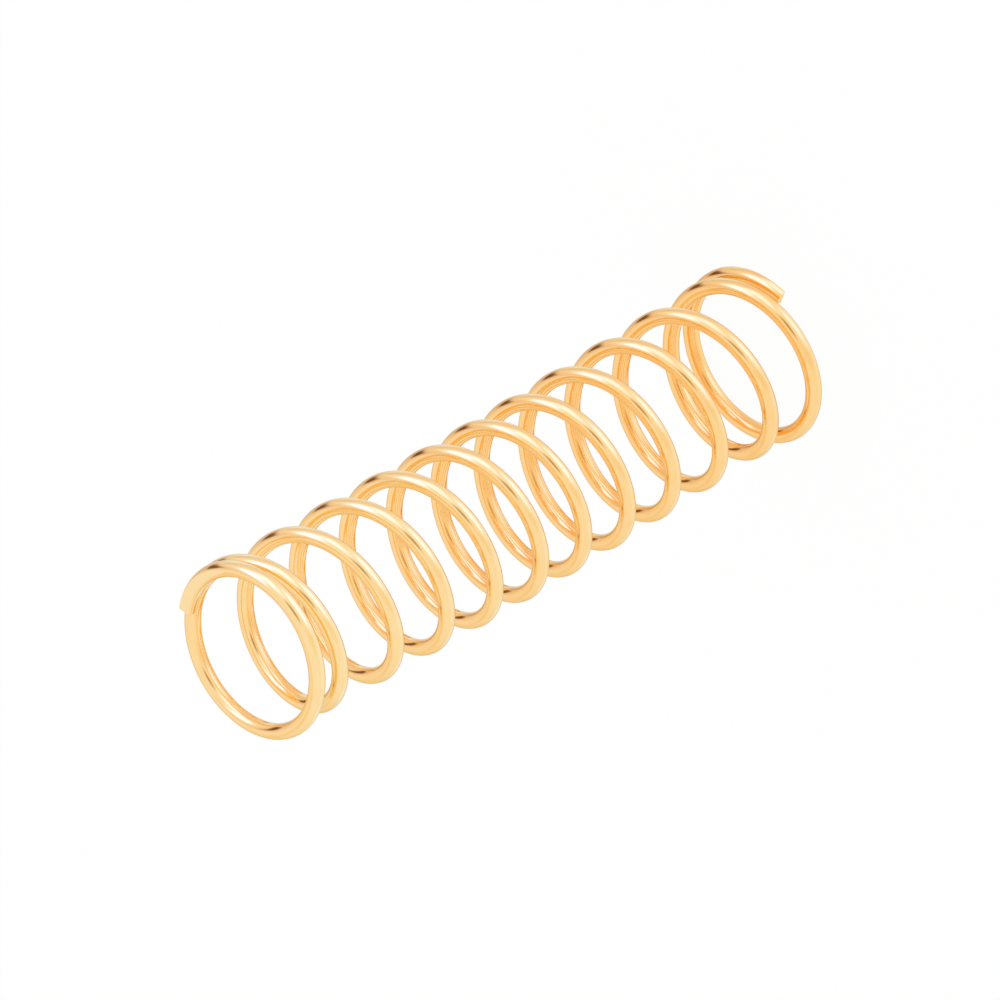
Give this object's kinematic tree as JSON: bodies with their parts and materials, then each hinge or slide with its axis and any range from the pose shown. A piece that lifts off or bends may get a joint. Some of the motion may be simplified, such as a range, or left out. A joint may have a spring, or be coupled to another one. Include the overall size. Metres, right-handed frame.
{
  "type": "compression spring",
  "caption": "Cylindrical helical compression spring of round wire, right hand, with closed and ground ends, gold finish.",
  "frame": {"origin": "centre of the lower ground face, on the coil axis", "axes": "+Z along the coil axis towards the upper ground face; +X through the lower wire tip"},
  "size_m": [0.011, 0.0104, 0.0406],
  "materials": {
    "gold_wire": "polished, drawn wire with a gold finish"
  },
  "bodies": {
    "root": {"spring_wire": "gold_wire"}
  },
  "joints": []
}
